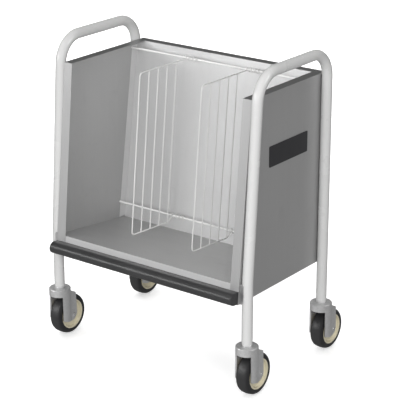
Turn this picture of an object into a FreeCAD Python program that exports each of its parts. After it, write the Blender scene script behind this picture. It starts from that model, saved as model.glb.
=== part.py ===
import FreeCAD, Part
import math
import os
import Sketcher
from FreeCAD import Vector, Placement, Rotation

# Plate dispenser cart: an open-fronted sheet-metal bin carried between two bent
# tube side frames on four swivel casters, with two sliding wire dividers.
#
# Frame: millimetres, +Z up, +X to the right when facing the open front,
# +Y to the back. Origin on the floor under the middle of the bounding box.

doc = FreeCAD.newDocument("plate_dispenser_cart")
sheet = doc.addObject("Spreadsheet::Sheet", "Dims")

DIMS = [
    # tube side frames
    ("tube_od", 31.75, "frame tube outside diameter, 1-1/4 in"),
    ("tube_wall", 1.65, "frame tube wall, 16 gauge"),
    ("leg_x", 355.25, "tube centre line from the middle plane"),
    ("leg_front_y", -212.8, "front leg centre line"),
    ("leg_rear_y", 176.2, "rear leg centre line"),
    ("leg_end_z", 166.4, "cut lower end of the legs"),
    ("frame_lean", 4.18, "degrees the front upright leans back above its bend"),
    ("frame_bend_z", 352.0, "height of the bend in the front leg"),
    ("frame_bend_radius", 120.0, "centre-line radius of that bend"),
    ("handle_z", 943.2, "centre line of the level handle"),
    ("handle_front_radius", 82.0, "front handle bend, centre line"),
    ("handle_rear_radius", 76.0, "rear handle bend, centre line"),
    # sheet-metal bin
    ("body_half", 338.9, "outer plane of the side panels"),
    ("sheet_gauge", 1.2, "side and back sheet, 18 gauge"),
    ("pan_gauge", 1.5, "shelf pan sheet, 16 gauge"),
    ("body_top_z", 874.2, "top of the bin"),
    ("body_bottom_z", 288.0, "lower edge of the side panels"),
    ("front_top_y", -177.5, "front edge of the side panels at the top"),
    ("front_slope", 0.1010, "forward run of the front edge per unit of drop"),
    ("side_rear_y", 196.2, "rear edge of the side panels"),
    ("flange_wide", 30.0, "front and top flanges of the sides"),
    ("rear_flange", 18.0, "rear and bottom flanges of the sides"),
    ("back_top_y", 166.2, "front face of the back panel at the top"),
    ("back_slope", 0.1424, "forward run of the back panel per unit of drop"),
    ("back_ear", 27.0, "forward side flanges of the back panel"),
    ("shelf_front_z", 345.6, "shelf surface at its front bend"),
    ("shelf_slope", 0.1120, "fall of the shelf per unit of run to the back"),
    ("apron_bottom_z", 290.0, "lower edge of the shelf's front apron"),
    ("pan_flange", 20.0, "down-turned rear and side flanges of the shelf pan"),
    # bumper
    ("bumper_high", 36.0, "bumper section height"),
    ("bumper_flat", 19.2, "straight part of the bumper section"),
    ("bumper_skin", 5.0, "wall of the bumper extrusion"),
    ("bumper_back", 3.0, "back wall of the bumper extrusion"),
    ("bumper_half", 338.4, "half length over the end caps"),
    ("bumper_z", 291.0, "lower back corner of the bumper"),
    ("cap_gauge", 3.0, "end cap plate"),
    ("rail_gauge", 3.0, "steel bar inside the bumper"),
    ("bolt_radius", 3.0, "M6 bumper bolts"),
    ("bolt_pitch", 140.0, "bumper bolt spacing"),
    # guide rods and wire dividers
    ("rod_radius", 3.175, "guide rods, 1/4 in"),
    ("top_rod_y", 136.7, "upper guide rod"),
    ("top_rod_z", 854.6, "upper guide rod"),
    ("low_rod_y", 64.7, "lower guide rod"),
    ("low_rod_z", 365.5, "lower guide rod"),
    ("wire_radius", 2.0, "divider wire"),
    ("coil_mean", 5.5, "mean radius of the divider's coils"),
    ("coil_pitch", 13.6, "pitch of the coils"),
    ("coil_long", 53.0, "length of the coils between wire centres"),
    ("divider_left_x", -131.7, "left divider at rest"),
    ("divider_right_x", 95.0, "right divider at rest"),
    ("divider_front_y", -79.0, "front upright of a divider, at the height below"),
    ("divider_ref_z", 850.0, "height at which the uprights are placed"),
    ("divider_tilt", 0.6, "degrees the top wire rises to the front"),
    ("divider_slope", 0.1008, "forward run of the divider's uprights per unit of drop"),
    ("divider_low_z", 357.6, "divider's lower wire at the front"),
    ("divider_low_slope", 0.060, "fall of the lower wire per unit of run"),
    ("divider_rise", 36.0, "degrees the tail of the lower wire climbs to the lower rod"),
    ("divider_corner", 12.0, "bend radius of the divider's front corners"),
    ("bar_pitch", 43.75, "spacing of the divider's uprights"),
    # blank plate
    ("plate_y_mid", 5.7, "middle of the blank plate"),
    ("plate_z_mid", 687.6, "middle of the blank plate"),
    ("plate_long", 192.5, "blank plate length"),
    ("plate_high", 62.0, "blank plate height"),
    ("plate_thick", 1.5, "blank plate thickness"),
    # casters
    ("wheel_radius", 63.5, "5 in wheel"),
    ("trail", 32.0, "swivel lead"),
    ("tyre_half", 21.2, "half width of the tyre at its sides"),
    ("side_radius", 51.7, "where the tyre's sides end"),
    ("shoulder_radius", 11.0, "rounding of the tyre's shoulders"),
    ("tread_half", 12.11, "half width of the tread"),
    ("tread_edge", 62.53, "tread at its edge"),
    ("crown_radius", 76.1, "crown of the tread"),
    ("rim_half", 20.4, "half width of the rim"),
    ("rim_radius", 46.4, "rim under the tyre"),
    ("hub_half", 23.0, "half length of the hub boss"),
    ("bush_radius", 8.0, "wheel bushing outside"),
    ("sleeve_radius", 6.0, "axle sleeve outside"),
    ("axle_radius", 4.0, "M8 axle bolt"),
    ("fork_radius", 33.5, "swivel head"),
    ("fork_gap_half", 23.5, "inside of the fork plates"),
    ("fork_plate", 3.0, "fork plate"),
    ("leg_inner_radius", 29.0, "inside of the rounded fork legs"),
    ("leg_front_angle", 32.0, "front edge of a fork leg, from the axle line"),
    ("leg_rear_angle", 37.0, "rear edge of a fork leg, from the axle line"),
    ("head_round", 3.5, "rounded top edge of the swivel head"),
    ("bolt_head_radius", 6.5, "domed head of the axle bolt"),
    ("bolt_head_high", 4.2, "domed head of the axle bolt"),
    ("head_top_z", 160.2, "top of the swivel head"),
    ("head_low_z", 137.0, "underside of the swivel head"),
    ("pin_radius", 6.0, "king pin, 12 mm"),
    ("collar_radius", 14.5, "stem collar"),
    ("running_gap", 0.05, "radial clearance of running fits"),
    ("axial_gap", 0.3, "axial clearance between moving faces"),
]
NUM = {}
for i, (alias, value, note) in enumerate(DIMS, start=1):
    sheet.set("A%d" % i, alias)
    sheet.set("B%d" % i, str(value))
    sheet.setAlias("B%d" % i, alias)
    sheet.set("C%d" % i, note)
    NUM[alias] = float(value)
doc.recompute()


class Q:
    """A length with its value and the sheet expression that gives it."""

    def __init__(self, value, text):
        self.v = float(value)
        self.e = text

    def __add__(self, other):
        other = q(other)
        return Q(self.v + other.v, "(%s + %s)" % (self.e, other.e))

    def __radd__(self, other):
        return q(other) + self

    def __sub__(self, other):
        other = q(other)
        return Q(self.v - other.v, "(%s - %s)" % (self.e, other.e))

    def __rsub__(self, other):
        return q(other) - self

    def __mul__(self, other):
        other = q(other)
        return Q(self.v * other.v, "(%s * %s)" % (self.e, other.e))

    def __rmul__(self, other):
        return q(other) * self

    def __truediv__(self, other):
        other = q(other)
        return Q(self.v / other.v, "(%s / %s)" % (self.e, other.e))

    def __neg__(self):
        return Q(-self.v, "(0 - %s)" % self.e)


def q(value):
    if isinstance(value, Q):
        return value
    return Q(value, "%.6f" % value if value >= 0 else "(0 - %.6f)" % -value)


def d(alias):
    return Q(NUM[alias], "Dims." + alias)


def sind(a):
    return Q(math.sin(math.radians(a.v)), "sin(%s * 1 deg)" % a.e)


def cosd(a):
    return Q(math.cos(math.radians(a.v)), "cos(%s * 1 deg)" % a.e)


def tand(a):
    return Q(math.tan(math.radians(a.v)), "tan(%s * 1 deg)" % a.e)


YZ = Rotation(Vector(1, 1, 1), 120)     # sketch x to +Y, sketch y to +Z
TO_X = Rotation(Vector(0, 1, 0), 90)    # a cylinder's axis along +X
NODES = []


def bind(obj, prop, value):
    obj.setExpression(prop, q(value).e)


def place(obj, x, y, z, rot=None):
    x, y, z = q(x), q(y), q(z)
    obj.Placement = Placement(Vector(x.v, y.v, z.v), rot if rot is not None else Rotation())
    bind(obj, "Placement.Base.x", x)
    bind(obj, "Placement.Base.y", y)
    bind(obj, "Placement.Base.z", z)
    return obj


def node(obj, label):
    obj.Label = label
    NODES.append(obj)
    return obj


def box(name, x, y, z, lx, ly, lz):
    b = doc.addObject("Part::Box", name)
    for prop, value in (("Length", lx), ("Width", ly), ("Height", lz)):
        setattr(b, prop, q(value).v)
        bind(b, prop, value)
    return place(b, x, y, z)


def rod(name, radius, length, x, y, z, rot=None):
    c = doc.addObject("Part::Cylinder", name)
    c.Radius, c.Height = q(radius).v, q(length).v
    bind(c, "Radius", radius)
    bind(c, "Height", length)
    return place(c, x, y, z, rot)


def cut(name, base, tool):
    c = doc.addObject("Part::Cut", name)
    c.Base, c.Tool = base, tool
    return c


def common(name, a, b):
    c = doc.addObject("Part::Common", name)
    c.Base, c.Tool = a, b
    return c


def fuse(name, shapes):
    f = doc.addObject("Part::MultiFuse", name)
    f.Shapes = shapes
    return f


def group(name, shapes):
    g = doc.addObject("Part::Compound", name)
    g.Links = shapes
    return g


def outline(sk, pts, closed=True):
    """Chain of lines and arcs. A point is (x, y) or (x, y, radius, ccw) when the
    edge that leaves it is an arc."""
    pts = [(q(p[0]), q(p[1])) + tuple(p[2:]) for p in pts]
    n = len(pts)
    count = n if closed else n - 1
    ends = []
    for i in range(count):
        a, b = pts[i], pts[(i + 1) % n]
        pa, pb = Vector(a[0].v, a[1].v, 0), Vector(b[0].v, b[1].v, 0)
        if len(a) == 2:
            g = sk.addGeometry(Part.LineSegment(pa, pb), False)
            ends.append((g, 1, 2))
        else:
            radius, ccw = q(a[2]), a[3]
            s, e = (pa, pb) if ccw else (pb, pa)
            chord = e - s
            mid = (s + e) * 0.5
            reach = math.sqrt(max(radius.v ** 2 - (chord.Length / 2) ** 2, 0.0))
            left = Vector(-chord.y, chord.x, 0).normalize()
            centre = mid + left * reach
            a1 = math.atan2(s.y - centre.y, s.x - centre.x)
            a2 = math.atan2(e.y - centre.y, e.x - centre.x)
            if a2 < a1:
                a2 += 2 * math.pi
            g = sk.addGeometry(Part.ArcOfCircle(Part.Circle(centre, Vector(0, 0, 1), radius.v), a1, a2), False)
            c = sk.addConstraint(Sketcher.Constraint("Radius", g, radius.v))
            sk.setExpression("Constraints[%d]" % c, radius.e)
            ends.append((g, 1, 2) if ccw else (g, 2, 1))
    for i in range(count - (0 if closed else 1)):
        a, b = ends[i], ends[(i + 1) % count]
        sk.addConstraint(Sketcher.Constraint("Coincident", a[0], a[2], b[0], b[1]))
    for i in range(n):
        g, pos = (ends[i][0], ends[i][1]) if i < count else (ends[-1][0], ends[-1][2])
        for kind, value in (("DistanceX", pts[i][0]), ("DistanceY", pts[i][1])):
            c = sk.addConstraint(Sketcher.Constraint(kind, -1, 1, g, pos, value.v))
            sk.setExpression("Constraints[%d]" % c, value.e)
    return sk


def ring(sk, x, y, radius):
    x, y, radius = q(x), q(y), q(radius)
    g = sk.addGeometry(Part.Circle(Vector(x.v, y.v, 0), Vector(0, 0, 1), radius.v), False)
    for kind, value in (("DistanceX", x), ("DistanceY", y)):
        c = sk.addConstraint(Sketcher.Constraint(kind, -1, 1, g, 3, value.v))
        sk.setExpression("Constraints[%d]" % c, value.e)
    c = sk.addConstraint(Sketcher.Constraint("Radius", g, radius.v))
    sk.setExpression("Constraints[%d]" % c, radius.e)
    return sk


def body(name):
    return doc.addObject("PartDesign::Body", name)


def sketch_in(b, name, role, offset=0):
    sk = b.newObject("Sketcher::SketchObject", name)
    base = [o for o in b.Origin.OriginFeatures if o.Role == role][0]
    sk.AttachmentSupport = (base, [""])
    sk.MapMode = "FlatFace"
    offset = q(offset)
    sk.AttachmentOffset = Placement(Vector(0, 0, offset.v), Rotation())
    bind(sk, "AttachmentOffset.Base.z", offset)
    return sk


def pad(b, name, sk, length):
    p = b.newObject("PartDesign::Pad", name)
    p.Profile = sk
    p.Length = q(length).v
    bind(p, "Length", length)
    b.Tip = p
    sk.Visibility = False
    return p


def slab(b, name, x0, length, pts):
    """A prism of the bin: an outline in the YZ plane, drawn out along X."""
    return pad(b, name, outline(sketch_in(b, name + "_sketch", "YZ_Plane", x0), pts), length)


def pipe(b, name, path, profile, edges):
    p = b.newObject("PartDesign::AdditivePipe", name)
    p.Profile = profile
    p.Spine = (path, ["Edge%d" % (i + 1) for i in range(edges)])
    b.Tip = p
    return p


def prism(name, rot, x, y, z, pts, length):
    """A free outline drawn out along its own normal."""
    sk = doc.addObject("Sketcher::SketchObject", name + "_sketch")
    outline(sk, pts)
    place(sk, x, y, z, rot)
    e = doc.addObject("Part::Extrusion", name)
    e.Base = sk
    e.DirMode = "Normal"
    e.Solid = True
    e.LengthFwd = q(length).v
    bind(e, "LengthFwd", length)
    return e


# ---------------------------------------------------------------- side frames
tube_r = d("tube_od") / 2
lean = d("frame_lean")
zb, zh = d("frame_bend_z"), d("handle_z")
rb, rf, rr = d("frame_bend_radius"), d("handle_front_radius"), d("handle_rear_radius")
yf, yr = d("leg_front_y"), d("leg_rear_y")
knee = rb * tand(lean / 2)                       # tangent length of the leg bend
crest_y = yf + tand(lean) * (zh - zb)            # where the lean line meets the handle line
shoulder = rf * tand((90 - lean) / 2)            # tangent length of the front handle bend
FRAME_PATH = [
    (yf, d("leg_end_z")),
    (yf, zb - knee, rb, False),
    (yf + rb * (1 - cosd(lean)), zb - knee + rb * sind(lean)),
    (crest_y - shoulder * sind(lean), zh - shoulder * cosd(lean), rf, False),
    (crest_y + shoulder, zh),
    (yr - rr, zh, rr, False),
    (yr, zh - rr),
    (yr, d("leg_end_z")),
]
for side, sign in (("left", -1), ("right", 1)):
    b = body(side + "_frame")
    path = outline(sketch_in(b, side + "_frame_path", "YZ_Plane", d("leg_x") * sign), FRAME_PATH, closed=False)
    prof = sketch_in(b, side + "_frame_ring", "XY_Plane", d("leg_end_z"))
    ring(prof, d("leg_x") * sign, yf, tube_r)
    ring(prof, d("leg_x") * sign, yf, tube_r - d("tube_wall"))
    pipe(b, side + "_frame_pipe", path, prof, 7)
    node(b, side + "_frame_tube")

# ------------------------------------------------------------------- the bin
gauge, pan_g = d("sheet_gauge"), d("pan_gauge")
zt, zl = d("body_top_z"), d("body_bottom_z")
ft = d("front_top_y")


def front_y(z):
    return ft - (zt - z) * d("front_slope")


def back_y(z):
    return d("back_top_y") - (zt - z) * d("back_slope")


def shelf_z(y):
    return d("shelf_front_z") - (y - front_y(d("shelf_front_z"))) * d("shelf_slope")


half = d("body_half")
ry = d("side_rear_y")
for side, sign in (("left", -1), ("right", 1)):
    b = body(side + "_side")
    wall_x = half - gauge if sign > 0 else -half
    slab(b, side + "_wall", wall_x, gauge,
         [(ft, zt), (front_y(zl), zl), (ry, zl), (ry, zt)])
    wide = d("flange_wide")
    in_x = half - wide if sign > 0 else -half
    slab(b, side + "_front_flange", in_x, wide,
         [(ft, zt), (front_y(zl), zl), (front_y(zl) + gauge, zl), (ft + gauge, zt)])
    slab(b, side + "_top_flange", in_x, wide,
         [(ft, zt), (front_y(zt - gauge), zt - gauge), (ry, zt - gauge), (ry, zt)])
    small = d("rear_flange")
    in_x = half - small if sign > 0 else -half
    slab(b, side + "_rear_flange", in_x, small,
         [(ry - gauge, zt), (ry - gauge, zl), (ry, zl), (ry, zt)])
    node(b, side + "_side_panel")

# back panel: leaning sheet, side ears folded forward onto the walls, top
# flange folded to the rear, level with the tops of the sides
b = body("back")
half_in = half - gauge
top_in = zt - gauge
back_low = d("apron_bottom_z")
slab(b, "back_sheet", -half_in, 2 * half_in,
     [(back_y(top_in), top_in), (back_y(back_low), back_low),
      (back_y(back_low) + gauge, back_low), (back_y(top_in) + gauge, top_in)])
lid = half - d("flange_wide") - d("axial_gap")
slab(b, "back_top_flange", -lid, 2 * lid,
     [(back_y(top_in), top_in), (ry, top_in), (ry, zt), (back_y(top_in), zt)])
ear_low = shelf_z(back_y(q(310))) + 5
ear_top = top_in - 12
for name, x0 in (("back_ear_left", -half_in), ("back_ear_right", half_in - gauge)):
    slab(b, name, x0, gauge,
         [(back_y(ear_top) + 0.5, ear_top), (back_y(ear_top) - d("back_ear"), ear_top),
          (back_y(ear_low) - d("back_ear"), ear_low), (back_y(ear_low) + 0.5, ear_low)])
notches = fuse("rod_notches", [
    rod("rod_notch_top", d("rod_radius") + 0.3, 2 * half_in + 2, -half_in - 1, d("top_rod_y"), d("top_rod_z"), TO_X),
    rod("rod_notch_low", d("rod_radius") + 0.3, 2 * half_in + 2, -half_in - 1, d("low_rod_y"), d("low_rod_z"), TO_X),
])
node(cut("back_notched", b, notches), "back_panel")

# shelf pan: sloping deck with a front apron, a rear flange and side flanges,
# all folded down; the apron lies behind the front flanges of the sides
apron = gauge
az = d("apron_bottom_z")
fz = d("shelf_front_z")
deck_back = Q(310.0, "310")
for _ in range(4):                                  # where the deck meets the back panel
    deck_back = shelf_z(back_y(q(round(deck_back.v, 3))))
rear_y = back_y(deck_back)
b = body("pan")
pan_half = half_in
pf = d("pan_flange")
inner_y = front_y(fz - pan_g) + apron + pan_g
inner_r = back_y(deck_back - pan_g) - pan_g
slab(b, "pan_deck", -pan_half, 2 * pan_half,
     [(front_y(az) + apron, az), (front_y(fz) + apron, fz), (rear_y, deck_back),
      (back_y(deck_back - pf), deck_back - pf), (back_y(deck_back - pf) - pan_g, deck_back - pf),
      (inner_r, shelf_z(inner_r) - pan_g), (inner_y, shelf_z(inner_y) - pan_g),
      (front_y(az) + apron + pan_g, az)])
for name, x0 in (("pan_left_flange", -pan_half), ("pan_right_flange", pan_half - pan_g)):
    y0, y1 = front_y(fz) + apron + 0.5, back_y(deck_back - pf) - 0.5
    slab(b, name, x0, pan_g,
         [(y0, shelf_z(y0) - 0.5), (y1, shelf_z(y1) - 0.5), (y1, shelf_z(y1) - pf), (y0, shelf_z(y0) - pf)])
pan_body = b

# hat channel under the deck, welded on by its two brims
hat_half = pan_half - pan_g - 1
y0 = -92.0
pts = []
for dy, dz in ((0, 0), (22, 0), (22, -22), (58, -22), (58, 0), (80, 0),
               (80, -1.5), (59.5, -1.5), (59.5, -23.5), (20.5, -23.5), (20.5, -1.5), (0, -1.5)):
    pts.append((q(y0 + dy), shelf_z(q(y0 + dy)) - pan_g + dz))
b = body("stiffener")
slab(b, "stiffener_hat", -hat_half, 2 * hat_half, pts)
node(b, "shelf_stiffener")

# ------------------------------------------------------------------- bumper
# Hollow D-section fender, its back flat against the leaning front flanges.
lean_back = -math.degrees(math.atan(NUM["front_slope"]))
bz = d("bumper_z")
bh, bf, bs, bb = d("bumper_high"), d("bumper_flat"), d("bumper_skin"), d("bumper_back")
FRONT = Placement(Vector(0, front_y(bz).v, bz.v), Rotation(Vector(1, 0, 0), lean_back))


def on_front(b):
    b.Placement = FRONT
    bind(b, "Placement.Base.y", front_y(bz))
    bind(b, "Placement.Base.z", bz)
    return b


def d_section(inset, back):
    r = bh / 2 - inset
    return [(-back, inset), (-back, bh - inset), (-bf, bh - inset, r, True), (-bf - r, bh / 2, r, True), (-bf, inset)]


bhalf, capg = d("bumper_half"), d("cap_gauge")
span = bhalf - capg
pitch = d("bolt_pitch")


def bolt_row(name, radius, y0, length):
    """Five cylinders along the bumper, square to its back face."""
    row = []
    for k in range(-2, 3):
        c = doc.addObject("Part::Cylinder", "%s_%d" % (name, k + 3))
        c.Radius, c.Height = q(radius).v, q(length).v
        bind(c, "Radius", radius)
        bind(c, "Height", length)
        c.Placement = FRONT.multiply(Placement(Vector(k * pitch.v, q(y0).v, bh.v / 2), Rotation(Vector(1, 0, 0), -90)))
        row.append(c)
    return row


b = on_front(body("bumper_profile"))
slab(b, "bumper_skin_pad", -span, 2 * span, d_section(q(0), q(0)))
b2 = on_front(body("bumper_core"))
slab(b2, "bumper_core_pad", -span - 1, 2 * span + 2, d_section(bs, bb))
holes = fuse("bumper_holes", bolt_row("hole", d("bolt_radius") + 0.2, -bb - d("rail_gauge") - 0.5, bb + d("rail_gauge") + 6))
hollow = cut("bumper_hollow", b, b2)
node(cut("bumper_drilled", hollow, holes), "front_bumper")

b = on_front(body("rail_bar"))
slab(b, "rail_bar_pad", -span + 12, 2 * span - 24,
     [(-bb, bs + 1), (-bb, bh - bs - 1), (-bb - d("rail_gauge"), bh - bs - 1), (-bb - d("rail_gauge"), bs + 1)])
node(cut("rail_drilled", b, holes), "bumper_rail")

caps = []
for name, x0, plug_x in (("left_cap", -bhalf, -span), ("right_cap", span, span - 9)):
    b = on_front(body(name))
    slab(b, name + "_plate", x0, capg, d_section(q(0), q(0)))
    slab(b, name + "_plug", plug_x, 9, d_section(bs, bb))
    caps.append(b)
node(group("caps", caps), "bumper_end_caps")

shanks = bolt_row("shank", d("bolt_radius"), -bb - d("rail_gauge") - 4, bb + d("rail_gauge") + 4 + 10)
heads = bolt_row("bolt_head", 6.0, -bb - d("rail_gauge") - 4, 4)
nuts = []
nut_y = (gauge + pan_g) * math.cos(math.radians(lean_back))
for k in range(-2, 3):
    p = doc.addObject("Part::Prism", "bumper_nut_%d" % (k + 3))
    p.Polygon, p.Circumradius, p.Height = 6, 5.77, 5.0
    p.Placement = FRONT.multiply(Placement(Vector(k * pitch.v, nut_y.v, bh.v / 2), Rotation(Vector(1, 0, 0), -90)))
    nuts.append(p)
node(group("bolts", [fuse("bumper_bolt_%d" % (k + 1), [shanks[k], heads[k], nuts[k]]) for k in range(5)]), "bumper_bolts")
node(cut("pan_drilled", pan_body, holes), "shelf_pan")

# -------------------------------------------------------------- guide rods
for name, y, z in (("top", d("top_rod_y"), d("top_rod_z")), ("lower", d("low_rod_y"), d("low_rod_z"))):
    node(rod(name + "_rod", d("rod_radius"), 2 * half_in, -half_in, y, z, TO_X), name + "_guide_rod")

# ------------------------------------------------------------ wire dividers
# Each divider: a bent loop of wire, four more uprights welded inside it, and a
# coil at each end of the loop that runs on a guide rod.
wr, cm = d("wire_radius"), d("coil_mean")
ds, dls, dc = d("divider_slope"), d("divider_low_slope"), d("divider_corner")
tilt, rise = d("divider_tilt"), d("divider_rise")
start_y = d("top_rod_y") - cm * sind(tilt)
start_z = d("top_rod_z") - cm * cosd(tilt)
tail_y = d("low_rod_y") + cm * sind(rise)
tail_z = d("low_rod_z") - cm * cosd(rise)
lfz = d("divider_low_z")


def upright_y(k, z):
    return d("divider_front_y") + k * d("bar_pitch") - (d("divider_ref_z") - z) * ds


def top_z(y):
    return start_z + (start_y - y) * tand(tilt)


# corners of the loop before they are rounded
top_y = upright_y(0, q(851.3))
low_y = upright_y(0, lfz)
tail_slope = tand(rise)
knee_y = (lfz + low_y * dls - tail_z + tail_y * tail_slope) / (dls + tail_slope)
knee_z = lfz - (knee_y - low_y) * dls
up = Q(math.degrees(math.atan(1 / ds.v)), "atan(1 / Dims.divider_slope)")
fall = Q(math.degrees(math.atan(dls.v)), "atan(Dims.divider_low_slope)")
s_up, c_up = math.sin(math.radians(up.v)), math.cos(math.radians(up.v))
s_dn, c_dn = math.sin(math.radians(fall.v)), math.cos(math.radians(fall.v))
t_top = dc * math.tan(math.radians(up.v + tilt.v) / 2)
t_low = dc * math.tan(math.radians(180 - up.v - fall.v) / 2)
knee_r = q(18.0)
t_knee = knee_r * math.tan(math.radians(rise.v + fall.v) / 2)
LOOP_PATH = [
    (start_y, start_z),
    (top_y + t_top * cosd(tilt), top_z(top_y) - t_top * sind(tilt), dc, True),
    (top_y - t_top * c_up, top_z(top_y) - t_top * s_up),
    (low_y + t_low * c_up, lfz + t_low * s_up, dc, True),
    (low_y + t_low * c_dn, lfz - t_low * s_dn),
    (knee_y - t_knee * c_dn, knee_z + t_knee * s_dn, knee_r, True),
    (knee_y + t_knee * cosd(rise), knee_z + t_knee * sind(rise)),
    (tail_y, tail_z),
]


def coil(name, x, y, z, start):
    """Round-wire coil about an X axis, from the angle start (0 is straight down)."""
    helix = Part.makeHelix(NUM["coil_pitch"], NUM["coil_long"], NUM["coil_mean"])
    spine = Part.Wire(helix.Edges)
    e = spine.Edges[0]
    tangent = e.tangentAt(e.FirstParameter)
    profile = Part.Wire(Part.makeCircle(NUM["wire_radius"], Vector(NUM["coil_mean"], 0, 0), tangent))
    f = doc.addObject("Part::Feature", name)
    f.Shape = spine.makePipeShell([profile], True, True)
    f.Placement = Placement(Vector(x, y, z), Rotation(Vector(1, 0, 0), start).multiply(TO_X))
    return f


def ball(name, x, y, z):
    b = doc.addObject("Part::Sphere", name)
    b.Radius = NUM["wire_radius"] - 0.02
    return place(b, x, y, z)


for side in ("left", "right"):
    x = d("divider_%s_x" % side)
    b = body(side + "_loop")
    path = outline(sketch_in(b, side + "_loop_path", "YZ_Plane", x), LOOP_PATH, closed=False)
    prof = sketch_in(b, side + "_loop_ring", "XZ_Plane", -start_y)
    ring(prof, x, start_z, wr)
    pipe(b, side + "_loop_pipe", path, prof, 7)
    top_coil = coil(side + "_top_coil", x.v, NUM["top_rod_y"], NUM["top_rod_z"], -tilt.v)
    low_coil = coil(side + "_low_coil", x.v, NUM["low_rod_y"], NUM["low_rod_z"], rise.v)
    top_ball = ball(side + "_top_ball", x, start_y, start_z)
    low_ball = ball(side + "_low_ball", x, tail_y, tail_z)
    doc.recompute()
    # one length of wire: the loop runs on into its coils without a joint
    loop = doc.addObject("Part::Feature", side + "_loop_wire")
    loop.Shape = b.Shape.fuse([top_coil.Shape, top_ball.Shape]).fuse([low_coil.Shape, low_ball.Shape])
    node(loop, side + "_divider_loop")
    bars = []
    for k in range(1, 5):
        z0 = lfz - k * d("bar_pitch") * dls / (1 + ds * dls) + 1.2
        z1 = top_z(upright_y(k, q(850.0))) - 1.2
        bars.append(rod("%s_bar_%d" % (side, k), wr, (z1 - z0) * (1 / s_up), x, upright_y(k, z0), z0,
                        Rotation(Vector(1, 0, 0), up.v - 90)))
    node(cut(side + "_bars_coped", group(side + "_bars", bars), b), side + "_divider_bars")

# --------------------------------------------------- brackets, plate, sockets
for end, ly, y_start in (("front", yf, yf - 0.5), ("rear", yr, yr + 16.1)):
    saddles = []
    for side, sign in (("left", -1), ("right", 1)):
        x0, x1 = half, q(352.0)
        z0, z1 = q(289.0), q(350.0)
        pts = [(x0 * sign, z0), ((x1 - 8) * sign, z0, q(8.0), sign > 0), (x1 * sign, z0 + 8),
               (x1 * sign, z1 - 8, q(8.0), sign > 0), ((x1 - 8) * sign, z1), (x0 * sign, z1)]
        tag = end + "_" + side
        blk = prism("saddle_block_" + tag, Rotation(Vector(1, 0, 0), 90), 0, y_start, 0, pts, 15.6)
        bore = rod("saddle_bore_" + tag, tube_r, 80, d("leg_x") * sign, ly, 280)
        saddles.append(cut("saddle_" + tag, blk, bore))
    node(group(end + "_saddles", saddles), end + "_leg_brackets")

pl, ph, pt = d("plate_long"), d("plate_high"), d("plate_thick")
py, pz = d("plate_y_mid"), d("plate_z_mid")
b = body("plate_body")
cr = q(3.0)
slab(b, "plate_pad", half, pt,
     [(py - pl / 2 + cr, pz - ph / 2), (py + pl / 2 - cr, pz - ph / 2, cr, True),
      (py + pl / 2, pz - ph / 2 + cr), (py + pl / 2, pz + ph / 2 - cr, cr, True),
      (py + pl / 2 - cr, pz + ph / 2), (py - pl / 2 + cr, pz + ph / 2, cr, True),
      (py - pl / 2, pz + ph / 2 - cr), (py - pl / 2, pz - ph / 2 + cr, cr, True)])
node(b, "blank_plate")

CORNERS = [("front_left", -1, yf), ("front_right", 1, yf), ("rear_left", -1, yr), ("rear_right", 1, yr)]
sockets = []
for tag, sign, ly in CORNERS:
    lx = d("leg_x") * sign
    plug = rod("socket_plug_" + tag, tube_r - d("tube_wall"), 40, lx, ly, d("leg_end_z"))
    hole = rod("socket_hole_" + tag, d("pin_radius"), 44, lx, ly, d("leg_end_z") - 2)
    sockets.append(cut("socket_" + tag, plug, hole))
node(group("sockets", sockets), "stem_sockets")

# ------------------------------------------------------------------ casters
fr, fg, fp = d("fork_radius"), d("fork_gap_half"), d("fork_plate")
ht, hl = d("head_top_z"), d("head_low_z")
wheel_z, trail = d("wheel_radius"), d("trail")
pin, gap = d("pin_radius"), d("running_gap")
ag = d("axial_gap")
fi, hr = d("leg_inner_radius"), d("head_round")
SIDE_VIEW = [  # fork seen from the side, measured from the swivel axis
    (-19, 148), (-19, 62, q(9.0), True), (-10.5, 53.3), (22, 45, q(25.0), True), (46.6, 69.6), (43.6, 135.8), (22.3, 147.4),
]


def eased(name, base, radius, pick):
    """Rounds the circular edges of a turned piece whose centre pick accepts."""
    doc.recompute()
    f = doc.addObject("Part::Fillet", name)
    f.Base = base
    f.Edges = [(i + 1, q(radius).v, q(radius).v) for i, e in enumerate(base.Shape.Edges)
               if isinstance(e.Curve, Part.Circle) and pick(e.CenterOfMass)]
    return f


def wedge(name, lx, ly, angle, side):
    """The sector about the swivel axis that a fork is open on."""
    far, out = 45.0, side * 60.0
    return prism(name, Rotation(), 0, 0, 41,
                 [(lx, ly), (lx + far * side, ly + far * side * tand(angle)), (lx + far * side, ly + out),
                  (lx - far * side, ly + out), (lx - far * side, ly + far * side * tand(angle))], hl - 41)


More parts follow.
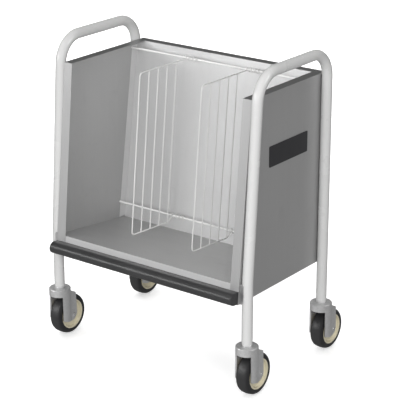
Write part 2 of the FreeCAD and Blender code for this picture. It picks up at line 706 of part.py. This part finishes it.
for tag, sign, ly in CORNERS:
    lx = d("leg_x") * sign
    ay = ly + trail
    # stem: king pin, collar under the tube and riveted foot
    stem = fuse("stem_" + tag, [
        rod("king_pin_" + tag, pin, 62, lx, ly, 140),
        rod("stem_collar_" + tag, d("collar_radius"), d("leg_end_z") - ht - ag, lx, ly, ht + ag),
        rod("pin_foot_" + tag, 11, 4, lx, ly, 138.6),
    ])
    node(stem, "caster_stem_" + tag)
    # fork: swivel head, two legs that carry on the head's round, and flat
    # plates set in behind them that reach back to the axle
    pts = [(ly + p[0], q(p[1])) + tuple(p[2:]) for p in SIDE_VIEW]
    head = eased("fork_head_" + tag, rod("fork_head_blank_" + tag, fr, ht - hl, lx, ly, hl), hr,
                 lambda c: abs(c.z - ht.v) < 0.01)
    wide = prism("fork_wide_" + tag, YZ, lx - fr, 0, 0, pts, 2 * fr)
    shell = cut("fork_shell_" + tag, rod("fork_turning_" + tag, fr, 105, lx, ly, 42),
                rod("fork_hollow_" + tag, fi, 107, lx, ly, 41))
    turned = common("fork_round_" + tag, wide, shell)
    legs = cut("fork_legs_" + tag, turned, fuse("fork_open_" + tag, [
        wedge("fork_open_front_" + tag, lx, ly, d("leg_front_angle"), -1),
        wedge("fork_open_rear_" + tag, lx, ly, d("leg_rear_angle"), 1)]))
    flat = prism("fork_flat_" + tag, YZ, lx - fg - fp, 0, 0, pts, 2 * (fg + fp))
    rear = common("fork_rear_" + tag, flat, box("fork_rear_box_" + tag, lx - 60, ly + 17.2, 40, 120, 60, 130))
    slot2 = box("fork_slot_rear_" + tag, lx - fg, ly - 10, 40, 2 * fg, 100, 140)
    plates = cut("fork_plates_" + tag, rear, slot2)
    solid = fuse("fork_solid_" + tag, [head, legs, plates])
    tools = fuse("fork_tools_" + tag, [
        rod("fork_bore_" + tag, pin + gap, 60, lx, ly, 130),
        rod("fork_cavity_" + tag, 17, 13, lx, ly, hl),
        rod("fork_axle_hole_" + tag, d("axle_radius") + gap, 80, lx - 40, ay, wheel_z, TO_X),
    ])
    node(cut("fork_" + tag, solid, tools), "caster_fork_" + tag)
    race = cut("race_" + tag, rod("race_outer_" + tag, 17, 7, lx, ly, hl + 6), rod("race_inner_" + tag, 6.6, 9, lx, ly, hl + 5))
    node(race, "swivel_bearing_" + tag)
    # axle: domed bolt, hexagon nut and the sleeve the wheel turns on
    out = fg + fp
    shank = rod("axle_shank_" + tag, d("axle_radius"), 2 * out + 5.5, lx - out - 5.5, ay, wheel_z, TO_X)
    dome = eased("axle_head_" + tag, rod("axle_head_blank_" + tag, d("bolt_head_radius"), d("bolt_head_high"),
                                         lx + out, ay, wheel_z, TO_X), 2.6,
                 lambda c: abs(c.x - (lx + out + d("bolt_head_high")).v) < 0.01)
    node(fuse("axle_bolt_solid_" + tag, [shank, dome]), "axle_bolt_" + tag)
    nut = doc.addObject("Part::Prism", "axle_nut_body_" + tag)
    nut.Polygon, nut.Circumradius, nut.Height = 6, 7.5, 5.0
    place(nut, lx - out - 5.0, ay, wheel_z, TO_X)
    nut_hole = rod("axle_nut_hole_" + tag, d("axle_radius"), 12, lx - out - 9, ay, wheel_z, TO_X)
    node(cut("axle_nut_solid_" + tag, nut, nut_hole), "axle_nut_" + tag)
    sleeve = cut("sleeve_" + tag,
                 rod("sleeve_outer_" + tag, d("sleeve_radius"), 2 * fg, lx - fg, ay, wheel_z, TO_X),
                 rod("sleeve_inner_" + tag, d("axle_radius"), 2 * fg + 4, lx - fg - 2, ay, wheel_z, TO_X))
    node(sleeve, "axle_sleeve_" + tag)
    # wheel: bushing, hub and tyre, turned about the axle
    hb = d("hub_half")
    bush = cut("bush_" + tag,
               rod("bush_outer_" + tag, d("bush_radius"), 2 * hb - 2, lx - hb + 1, ay, wheel_z, TO_X),
               rod("bush_inner_" + tag, d("sleeve_radius") + gap, 2 * hb + 4, lx - hb - 2, ay, wheel_z, TO_X))
    node(bush, "wheel_bushing_" + tag)

    rim, rw = d("rim_radius"), d("rim_half")
    th, sr, cr = d("tyre_half"), d("side_radius"), d("shoulder_radius")
    te, tz = d("tread_half"), d("tread_edge")
    profile = [(hb, d("bush_radius")), (hb, q(12.5)), (hb - 1.0, q(13.5)), (q(14.0), q(15.5)), (q(12.0), q(18.0)),
               (q(12.0), q(36.5)), (q(13.0), q(39.6)), (q(15.0), q(40.8)), (rw - 1.0, q(41.6)), (rw, q(42.4)), (rw, rim)]
    for name, label, pts in (
        ("hub_", "wheel_hub_", profile + [(-p[0], p[1]) for p in reversed(profile)]),
        ("tread_", "tyre_", [(-rw, rim), (rw, rim), (th, rim + 2.2), (th, sr, cr, True),
                             (te, tz, d("crown_radius"), True), (-te, tz, cr, True), (-th, sr), (-th, rim + 2.2)]),
    ):
        b = body(name + tag)
        sk = outline(sketch_in(b, name + "sketch_" + tag, "XY_Plane", 0), pts)
        r = b.newObject("PartDesign::Revolution", name + "turn_" + tag)
        r.Profile = sk
        r.ReferenceAxis = (sk, ["H_Axis"])
        r.Angle = 360.0
        b.Tip = r
        place(b, lx, ay, wheel_z)
        node(b, label + tag)

doc.recompute()

# -------------------------------------------------------------- check and write
problems = []
for o in doc.Objects:
    bad = [s for s in o.State if s in ("Invalid", "Error")]
    if bad:
        problems.append("%s is %s" % (o.Label, bad))
seen = set()
for o in NODES:
    s = o.Shape
    if s.isNull() or not s.isValid() or not s.Solids:
        problems.append("%s has no valid solid" % o.Label)
    if o.Label in seen:
        problems.append("%s is used twice" % o.Label)
    seen.add(o.Label)
if len(NODES) > 60:
    problems.append("too many nodes: %d" % len(NODES))
if problems:
    raise RuntimeError("; ".join(problems))

os.makedirs("parts", exist_ok=True)
total = FreeCAD.BoundBox()
for o in NODES:
    o.Shape.exportStep(os.path.join("parts", o.Label + ".step"))
    total.add(o.Shape.BoundBox)
    print("%-28s solids %d  volume %10.0f mm3" % (o.Label, len(o.Shape.Solids), o.Shape.Volume))
print("%d nodes; box x %.1f..%.1f y %.1f..%.1f z %.1f..%.1f" % (
    len(NODES), total.XMin, total.XMax, total.YMin, total.YMax, total.ZMin, total.ZMax))
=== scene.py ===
import bpy
import math
from mathutils import Matrix, Vector

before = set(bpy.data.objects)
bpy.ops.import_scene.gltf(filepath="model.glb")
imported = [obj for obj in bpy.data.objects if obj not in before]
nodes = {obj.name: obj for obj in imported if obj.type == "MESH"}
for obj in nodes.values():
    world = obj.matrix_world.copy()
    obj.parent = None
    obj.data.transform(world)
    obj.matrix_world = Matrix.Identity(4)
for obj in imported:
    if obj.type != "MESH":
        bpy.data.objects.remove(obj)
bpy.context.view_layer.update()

CORNERS = ("front_left", "front_right", "rear_left", "rear_right")


# ----------------------------------------------------------------- materials
class Mat:
    """A small builder for node materials. Textures read the piece's own
    coordinates, which are those of the row frame, in metres."""

    def __init__(self, name):
        self.m = bpy.data.materials.new(name)
        self.m.use_nodes = True
        self.t = self.m.node_tree
        self.t.nodes.clear()
        self.out = self.t.nodes.new("ShaderNodeOutputMaterial")
        self.b = self.t.nodes.new("ShaderNodeBsdfPrincipled")
        self.t.links.new(self.b.outputs["BSDF"], self.out.inputs["Surface"])
        self.c = self.t.nodes.new("ShaderNodeTexCoord")
        self.bump_in = None

    def link(self, a, b):
        self.t.links.new(a, b)

    def mapped(self, scale, shift=(0, 0, 0), turn=(0, 0, 0)):
        n = self.t.nodes.new("ShaderNodeMapping")
        n.inputs["Scale"].default_value = scale
        n.inputs["Location"].default_value = shift
        n.inputs["Rotation"].default_value = turn
        self.link(self.c.outputs["Object"], n.inputs["Vector"])
        return n.outputs["Vector"]

    def noise(self, vector, scale=1.0, detail=4.0, rough=0.55, distort=0.0):
        n = self.t.nodes.new("ShaderNodeTexNoise")
        n.inputs["Scale"].default_value = scale
        n.inputs["Detail"].default_value = detail
        n.inputs["Roughness"].default_value = rough
        n.inputs["Distortion"].default_value = distort
        self.link(vector, n.inputs["Vector"])
        return n.outputs["Fac"]

    def ranged(self, value, lo, hi, to_lo, to_hi):
        n = self.t.nodes.new("ShaderNodeMapRange")
        for k, v in (("From Min", lo), ("From Max", hi), ("To Min", to_lo), ("To Max", to_hi)):
            n.inputs[k].default_value = v
        self.link(value, n.inputs["Value"])
        return n.outputs["Result"]

    def maths(self, op, a, b):
        n = self.t.nodes.new("ShaderNodeMath")
        n.operation = op
        for i, v in enumerate((a, b)):
            if isinstance(v, (int, float)):
                n.inputs[i].default_value = v
            else:
                self.link(v, n.inputs[i])
        return n.outputs["Value"]

    def mix(self, fac, a, b):
        n = self.t.nodes.new("ShaderNodeMix")
        n.data_type = "RGBA"
        sock = [s for s in n.inputs if s.type == "RGBA"]
        for s, v in zip(sock, (a, b)):
            if isinstance(v, tuple):
                s.default_value = v + (1.0,) if len(v) == 3 else v
            else:
                self.link(v, s)
        if isinstance(fac, (int, float)):
            n.inputs["Factor"].default_value = fac
        else:
            self.link(fac, n.inputs["Factor"])
        return [s for s in n.outputs if s.type == "RGBA"][0]

    def set(self, **values):
        names = {"color": "Base Color", "metal": "Metallic", "rough": "Roughness", "coat": "Coat Weight",
                 "coat_rough": "Coat Roughness", "ior": "IOR", "spec": "Specular IOR Level",
                 "aniso": "Anisotropic", "sheen": "Sheen Weight", "sub": "Subsurface Weight"}
        for k, v in values.items():
            s = self.b.inputs[names[k]]
            if isinstance(v, (int, float)):
                s.default_value = v
            elif isinstance(v, tuple):
                s.default_value = v + (1.0,)
            else:
                self.link(v, s)
        return self

    def bump(self, height, strength, distance=0.001):
        n = self.t.nodes.new("ShaderNodeBump")
        n.inputs["Strength"].default_value = strength
        n.inputs["Distance"].default_value = distance
        self.link(height, n.inputs["Height"])
        if self.bump_in is not None:
            self.link(self.bump_in, n.inputs["Normal"])
        self.bump_in = n.outputs["Normal"]
        self.link(self.bump_in, self.b.inputs["Normal"])
        return self


def brushed(name, tone, rough, grain, metal=1.0, strength=0.10, variation=0.05):
    """Satin brushed sheet: fine drawn lines along one axis, soft cloudy wear."""
    m = Mat(name)
    scale = {"x": (6, 900, 900), "y": (900, 6, 900), "z": (900, 900, 6)}[grain]
    lines = m.noise(m.mapped(scale), 1.0, 3.0, 0.6)
    broad = {"x": (1.2, 60, 60), "y": (60, 1.2, 60), "z": (60, 60, 1.2)}[grain]
    bands = m.noise(m.mapped(broad, (3, 1, 7)), 1.0, 2.0, 0.5)
    cloud = m.noise(m.mapped((3.1, 3.1, 3.1), (11, 5, 2)), 1.0, 4.0, 0.6)
    smudge = m.noise(m.mapped((14, 14, 14), (1, 9, 4)), 1.0, 6.0, 0.65, 0.6)
    light = tuple(min(1.0, tone * (1 + variation)) for _ in range(3))
    dark = tuple(tone * (1 - variation) for _ in range(3))
    a = m.mix(m.ranged(lines, 0.3, 0.7, 0, 1), dark, light)
    b = m.mix(m.ranged(bands, 0.35, 0.65, 0, 0.5), a, tuple(tone * 1.03 for _ in range(3)))
    c = m.mix(m.ranged(smudge, 0.58, 0.78, 0, 0.28), b, tuple(tone * 0.86 for _ in range(3)))
    r = m.maths("ADD", m.ranged(lines, 0.3, 0.7, rough - 0.04, rough + 0.04), m.ranged(cloud, 0.35, 0.7, -0.05, 0.06))
    r = m.maths("ADD", r, m.ranged(smudge, 0.55, 0.8, 0.0, 0.07))
    m.set(color=c, metal=metal, rough=r)
    m.bump(lines, strength, 0.0002)
    m.bump(cloud, 0.04, 0.01)
    return m.m


def coated(name, tone, rough):
    """Gloss paint over steel: orange peel, rubbed patches and fine scuffs."""
    m = Mat(name)
    peel = m.noise(m.mapped((520, 520, 520)), 1.0, 2.0, 0.5)
    cloud = m.noise(m.mapped((7, 7, 7), (2, 3, 1)), 1.0, 4.0, 0.6)
    scuff = m.noise(m.mapped((60, 60, 420), (5, 1, 3), (0.3, 0.2, 0.5)), 1.0, 6.0, 0.7)
    base = m.mix(m.ranged(cloud, 0.35, 0.65, 0, 1), tuple(t * 0.99 for t in tone), tone)
    worn = m.mix(m.ranged(scuff, 0.66, 0.74, 0, 0.14), base, tuple(t * 0.72 for t in tone))
    r = m.maths("ADD", m.ranged(cloud, 0.3, 0.7, rough - 0.02, rough + 0.03), m.ranged(scuff, 0.62, 0.74, 0, 0.12))
    m.set(color=worn, metal=0.0, rough=r, coat=0.35, coat_rough=0.12, spec=0.5)
    m.bump(peel, 0.05, 0.0004)
    return m.m


def rubber(name, tone, rough, streak="x", dust=0.35, spec=0.45, drawn=0.06):
    m = Mat(name)
    fine = m.noise(m.mapped((900, 900, 900)), 1.0, 3.0, 0.6)
    cloud = m.noise(m.mapped((9, 9, 9), (4, 2, 8)), 1.0, 5.0, 0.6)
    scale = {"x": (5, 160, 160), "y": (160, 5, 160), "z": (160, 160, 5)}[streak]
    lines = m.noise(m.mapped(scale, (1, 6, 2)), 1.0, 4.0, 0.6)
    base = m.mix(m.ranged(cloud, 0.35, 0.7, 0, 1), tuple(t * 0.85 for t in tone), tuple(t * 1.15 for t in tone))
    dusty = m.mix(m.ranged(lines, 0.58, 0.8, 0, dust), base, tuple(min(1, t * 2.6 + 0.02) for t in tone))
    r = m.maths("ADD", m.ranged(cloud, 0.3, 0.7, rough - 0.03, rough + 0.05), m.ranged(lines, 0.5, 0.8, 0, drawn))
    m.set(color=dusty, metal=0.0, rough=r, spec=spec)
    m.bump(fine, 0.10, 0.0003)
    m.bump(lines, drawn, 0.0004)
    return m.m


def moulded(name, tone, rough):
    m = Mat(name)
    cloud = m.noise(m.mapped((22, 22, 22), (1, 2, 3)), 1.0, 5.0, 0.6)
    grime = m.noise(m.mapped((70, 70, 70), (5, 2, 3)), 1.0, 6.0, 0.7, 0.4)
    fine = m.noise(m.mapped((700, 700, 700)), 1.0, 3.0, 0.6)
    base = m.mix(m.ranged(cloud, 0.35, 0.7, 0, 1), tuple(t * 0.94 for t in tone), tone)
    dirty = m.mix(m.ranged(grime, 0.60, 0.78, 0, 0.35), base, tuple(t * 0.62 for t in tone))
    r = m.ranged(cloud, 0.3, 0.7, rough - 0.05, rough + 0.08)
    m.set(color=dirty, metal=0.0, rough=r, spec=0.45)
    m.bump(fine, 0.06, 0.0003)
    return m.m


def plated(name, tone, rough, tint=(1.0, 1.0, 1.0), metal=0.85):
    """Zinc plate: faint mottled spangle, machining haze."""
    m = Mat(name)
    spangle = m.noise(m.mapped((120, 120, 120), (3, 3, 3)), 1.0, 3.0, 0.5, 0.8)
    fine = m.noise(m.mapped((800, 800, 800)), 1.0, 3.0, 0.6)
    cloud = m.noise(m.mapped((16, 16, 16), (8, 2, 1)), 1.0, 4.0, 0.6)
    base = m.mix(m.ranged(spangle, 0.35, 0.65, 0, 1), tuple(tone * 0.93 * t for t in tint), tuple(tone * 1.04 * t for t in tint))
    dull = m.mix(m.ranged(cloud, 0.52, 0.75, 0, 0.4), base, tuple(tone * 0.78 * t for t in tint))
    r = m.maths("ADD", m.ranged(spangle, 0.3, 0.7, rough - 0.04, rough + 0.05), m.ranged(cloud, 0.4, 0.8, 0, 0.08))
    m.set(color=dull, metal=metal, rough=r)
    m.bump(fine, 0.08, 0.0002)
    return m.m


M = {
    "tube": coated("tube_coat", (0.70, 0.70, 0.695), 0.26),
    "wire": coated("wire_coat", (0.78, 0.78, 0.77), 0.30),
    "rod": coated("rod_coat", (0.97, 0.97, 0.96), 0.22),
    "panel": brushed("sheet_upright", 0.53, 0.48, "z", metal=0.65, strength=0.06, variation=0.025),
    # a darker copy of the same sheet for the up-facing top flanges: painted shade
    "flange": brushed("sheet_flange_painted_shade", 0.40, 0.44, "x", metal=0.90, strength=0.06, variation=0.025),
    # the back panel takes a lighter copy of the same sheet: painted light
    "back": brushed("sheet_back_painted_light", 0.76, 0.58, "z", metal=0.45, strength=0.06, variation=0.025),
    # the shelf's front lip takes a lighter copy of the shelf sheet: painted light
    "apron": brushed("sheet_apron_painted_light", 0.68, 0.50, "x", metal=0.45, strength=0.06, variation=0.025),
    "pan": brushed("sheet_shelf", 0.53, 0.50, "x", metal=0.65, strength=0.06, variation=0.025),
    "bracket": plated("bracket_zinc", 0.60, 0.40),
    "bumper": rubber("bumper_vinyl", (0.034, 0.034, 0.035), 0.34, "x", 0.05, 0.5, 0.012),
    "cap": rubber("cap_vinyl", (0.040, 0.040, 0.042), 0.50, "z", 0.20),
    "rail": brushed("rail_mill", 0.66, 0.40, "x"),
    "fastener": plated("fastener_zinc", 0.66, 0.34, (1.0, 0.98, 0.93)),
    "plate": moulded("plate_satin", (0.032, 0.032, 0.035), 0.36),
    "socket": plated("socket_steel", 0.42, 0.45),
    "stem": plated("stem_zinc", 0.84, 0.34, metal=0.45),
    "fork": plated("fork_zinc", 0.68, 0.38, metal=0.60),
    "bearing": plated("bearing_greased", 0.34, 0.38),
    "axle": plated("axle_zinc", 0.86, 0.18, metal=0.85),
    "hub": moulded("hub_cream", (0.78, 0.72, 0.54), 0.40),
    "bushing": moulded("bushing_dark", (0.10, 0.10, 0.10), 0.45),
    "tyre": rubber("tyre_rubber", (0.016, 0.016, 0.017), 0.42, "x", 0.30, 0.7),
}
LOOK = {
    "left_frame_tube": "tube", "right_frame_tube": "tube",
    "left_side_panel": "panel", "right_side_panel": "panel", "back_panel": "back",
    "shelf_pan": "pan", "shelf_stiffener": "pan",
    "front_leg_brackets": "bracket", "rear_leg_brackets": "bracket",
    "front_bumper": "bumper", "bumper_end_caps": "cap", "bumper_rail": "rail", "bumper_bolts": "fastener",
    "top_guide_rod": "rod", "lower_guide_rod": "rod",
    "left_divider_loop": "wire", "right_divider_loop": "wire",
    "left_divider_bars": "wire", "right_divider_bars": "wire",
    "blank_plate": "plate", "stem_sockets": "socket",
}
for tag in CORNERS:
    LOOK.update({
        "caster_stem_" + tag: "stem", "caster_fork_" + tag: "fork", "swivel_bearing_" + tag: "bearing",
        "axle_bolt_" + tag: "axle", "axle_nut_" + tag: "axle", "axle_sleeve_" + tag: "axle",
        "wheel_bushing_" + tag: "bushing", "wheel_hub_" + tag: "hub", "tyre_" + tag: "tyre",
    })
for name, o in nodes.items():
    o.data.materials.clear()
    o.data.materials.append(M[LOOK[name]])
# the level top flanges of the sheets take a darker copy of the sheet, painted shade for the up-facing faces; their
# grain is drawn along their length
for name in ("left_side_panel", "right_side_panel", "back_panel"):
    me = nodes[name].data
    me.materials.append(M["flange"])
    for face in me.polygons:
        if abs(face.normal.z) > 0.9 and face.center.z > 0.8:
            face.material_index = 1
# the shelf pan's front-facing lip gets the lighter copy of its sheet: painted light
me = nodes["shelf_pan"].data
me.materials.append(M["apron"])
for face in me.polygons:
    if face.normal.y < -0.9 and face.center.y < -0.2:
        face.material_index = 1

# ------------------------------------------------------------------- camera
CAM = Vector((2.67335, -3.52507, 2.05950))
AZ, EL, ROLL = math.radians(36.87537), math.radians(19.85665), math.radians(-0.07717)
F = Vector((-math.sin(AZ) * math.cos(EL), math.cos(AZ) * math.cos(EL), -math.sin(EL)))
R = Vector((math.cos(AZ), math.sin(AZ), 0.0))
U = R.cross(F)
R2 = math.cos(ROLL) * R + math.sin(ROLL) * U
U2 = -math.sin(ROLL) * R + math.cos(ROLL) * U
cam = bpy.data.cameras.new("camera")
cam.sensor_fit = "HORIZONTAL"
cam.sensor_width = 36.0
cam.lens = 1562.299 / 400.0 * 36.0
cam.clip_end = 400.0
cam_ob = bpy.data.objects.new("camera", cam)
bpy.context.collection.objects.link(cam_ob)
cam_ob.matrix_world = Matrix((
    (R2.x, U2.x, -F.x, CAM.x), (R2.y, U2.y, -F.y, CAM.y), (R2.z, U2.z, -F.z, CAM.z), (0, 0, 0, 1)))
bpy.context.scene.camera = cam_ob

# -------------------------------------------------------------- floor, light
bpy.context.scene.view_settings.view_transform = "Standard"
bpy.ops.mesh.primitive_plane_add(size=300, location=(0, 0, 0))
floor = bpy.context.object
floor.name = "floor"
fm = Mat("floor_pale")
spots = fm.noise(fm.mapped((0.8, 0.8, 0.8)), 1.0, 3.0, 0.5)
fm.set(color=fm.mix(fm.ranged(spots, 0.3, 0.7, 0, 1), (0.93, 0.93, 0.93), (0.95, 0.95, 0.95)), rough=0.8, metal=0.0)
fm.b.inputs["Emission Color"].default_value = (1.0, 1.0, 1.0, 1.0)
fm.b.inputs["Emission Strength"].default_value = 0.45
floor.data.materials.append(fm.m)
floor.visible_glossy = False
floor.visible_diffuse = False

# the studio: brightest ahead and to the left of the cart, dim behind and above
world = bpy.data.worlds.new("studio")
bpy.context.scene.world = world
world.use_nodes = True
wt = world.node_tree
bg = wt.nodes["Background"]
tc = wt.nodes.new("ShaderNodeTexCoord")


def dot_with(direction):
    n = wt.nodes.new("ShaderNodeVectorMath")
    n.operation = "DOT_PRODUCT"
    n.inputs[1].default_value = Vector(direction).normalized()
    wt.links.new(tc.outputs["Generated"], n.inputs[0])
    return n.outputs["Value"]


def ramp(value, lo, hi, to_lo, to_hi):
    n = wt.nodes.new("ShaderNodeMapRange")
    n.interpolation_type = "SMOOTHSTEP"
    for k, v in (("From Min", lo), ("From Max", hi), ("To Min", to_lo), ("To Max", to_hi)):
        n.inputs[k].default_value = v
    wt.links.new(value, n.inputs["Value"])
    return n.outputs["Result"]


def plus(a, b):
    n = wt.nodes.new("ShaderNodeMath")
    n.operation = "ADD"
    wt.links.new(a, n.inputs[0])
    wt.links.new(b, n.inputs[1])
    return n.outputs["Value"]


front = ramp(dot_with((-0.30, -0.95, -0.05)), 0.0, 0.85, 0.14, 0.43)
below = ramp(dot_with((0, 0, -1)), 0.05, 0.5, 0.0, 0.10)
wt.links.new(plus(front, below), bg.inputs["Strength"])
bg.inputs["Color"].default_value = (1.0, 1.0, 1.0, 1.0)


def softbox(name, place, target, size, power, glossy=True):
    light = bpy.data.lights.new(name, "AREA")
    light.shape = "RECTANGLE"
    light.size, light.size_y = size
    light.energy = power
    o = bpy.data.objects.new(name, light)
    bpy.context.collection.objects.link(o)
    o.location = place
    o.rotation_euler = (Vector(target) - Vector(place)).to_track_quat("-Z", "Y").to_euler()
    o.visible_glossy = glossy
    return o


softbox("key", (0.4, -4.6, 1.6), (0, 0, 0.5), (2.2, 2.2), 78, glossy=False)
softbox("fill", (3.9, -2.6, 1.7), (0, 0, 0.5), (2.2, 2.2), 105, glossy=False)
softbox("back", (-1.8, 4.3, 2.0), (0, 0, 0.5), (2.6, 2.6), 80, glossy=False)
softbox("left", (-4.3, 1.4, 2.0), (0, 0, 0.5), (2.2, 2.2), 80, glossy=False)
softbox("bumper", (-2.5, -3.55, 1.75), (0, -0.25, 0.30), (2.6, 0.6), 55).visible_diffuse = False
softbox("bend", (-1.4, -1.7, 3.6), (0, -0.1, 0.9), (0.6, 0.6), 5)
softbox("spark", (3.9, 1.1, 2.7), (0, 0, 0.2), (1.0, 1.0), 45).visible_diffuse = False

sun = bpy.data.lights.new("overhead", "SUN")
sun.energy = 1.0
sun.angle = math.radians(80)
sun_ob = bpy.data.objects.new("overhead", sun)
bpy.context.collection.objects.link(sun_ob)
sun_ob.rotation_euler = (0, 0, 0)
sun_ob.visible_glossy = False

bpy.context.view_layer.update()
